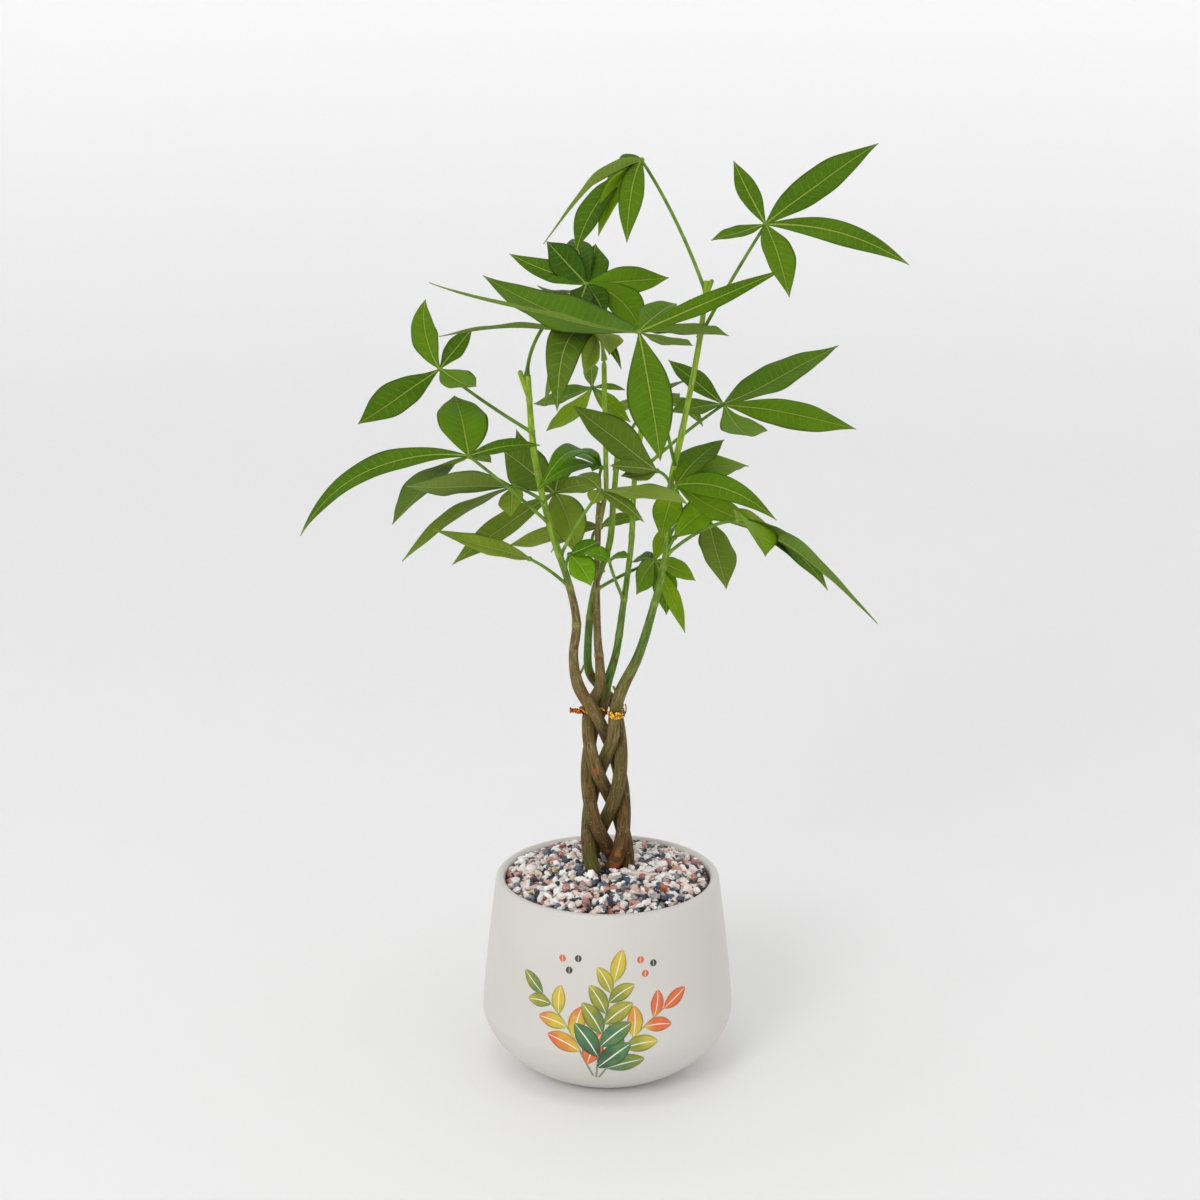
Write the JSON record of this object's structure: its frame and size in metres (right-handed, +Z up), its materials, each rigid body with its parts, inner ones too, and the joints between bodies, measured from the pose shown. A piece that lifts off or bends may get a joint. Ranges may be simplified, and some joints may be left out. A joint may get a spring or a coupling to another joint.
{
  "type": "potted money tree",
  "caption": "Braided money tree standing in a round glazed pot: plaited stems held by a twist tie, compound leaves of long pointed leaflets, gravel over the soil.",
  "frame": {"origin": "centre of the pot's flat base, on the surface that it stands on", "axes": "+Z up along the pot's axis; -Y towards the viewer of the picture; +X to the viewer's right"},
  "size_m": [0.3628, 0.2515, 0.5922],
  "materials": {
    "glazed_ceramic": "satin",
    "potting_soil": "matte",
    "gravel_chips": "matte",
    "bark": "matte",
    "gold_foil": "polished",
    "leaf": "satin"
  },
  "bodies": {
    "root": {"pot": "glazed_ceramic", "soil": "potting_soil", "gravel": "gravel_chips", "stem_far_left": "bark", "stem_left": "bark", "stem_middle": "bark", "stem_right": "bark", "stem_far_right": "bark", "twist_tie": "gold_foil", "leaf_crown_top": "leaf", "leaf_upper_right": "leaf", "leaf_mid_right": "leaf", "leaf_crown_left": "leaf", "leaf_crown_middle": "leaf", "leaf_big_centre": "leaf", "leaf_upper_left": "leaf", "leaf_left_long": "leaf", "leaf_left_pair": "leaf", "leaf_left_back": "leaf", "leaf_middle_left": "leaf", "leaf_centre_front": "leaf", "leaf_right_fan": "leaf", "leaf_right_long": "leaf", "leaf_right_hanging": "leaf", "leaf_young_shoot": "leaf", "leaf_low_shoot": "leaf", "leaf_low_right": "leaf", "leaf_low_front": "leaf", "leaf_low_middle": "leaf", "leaf_low_left": "leaf", "leaf_front_centre": "leaf", "leaf_back_small": "leaf", "leaf_back_crown": "leaf"}
  },
  "joints": []
}
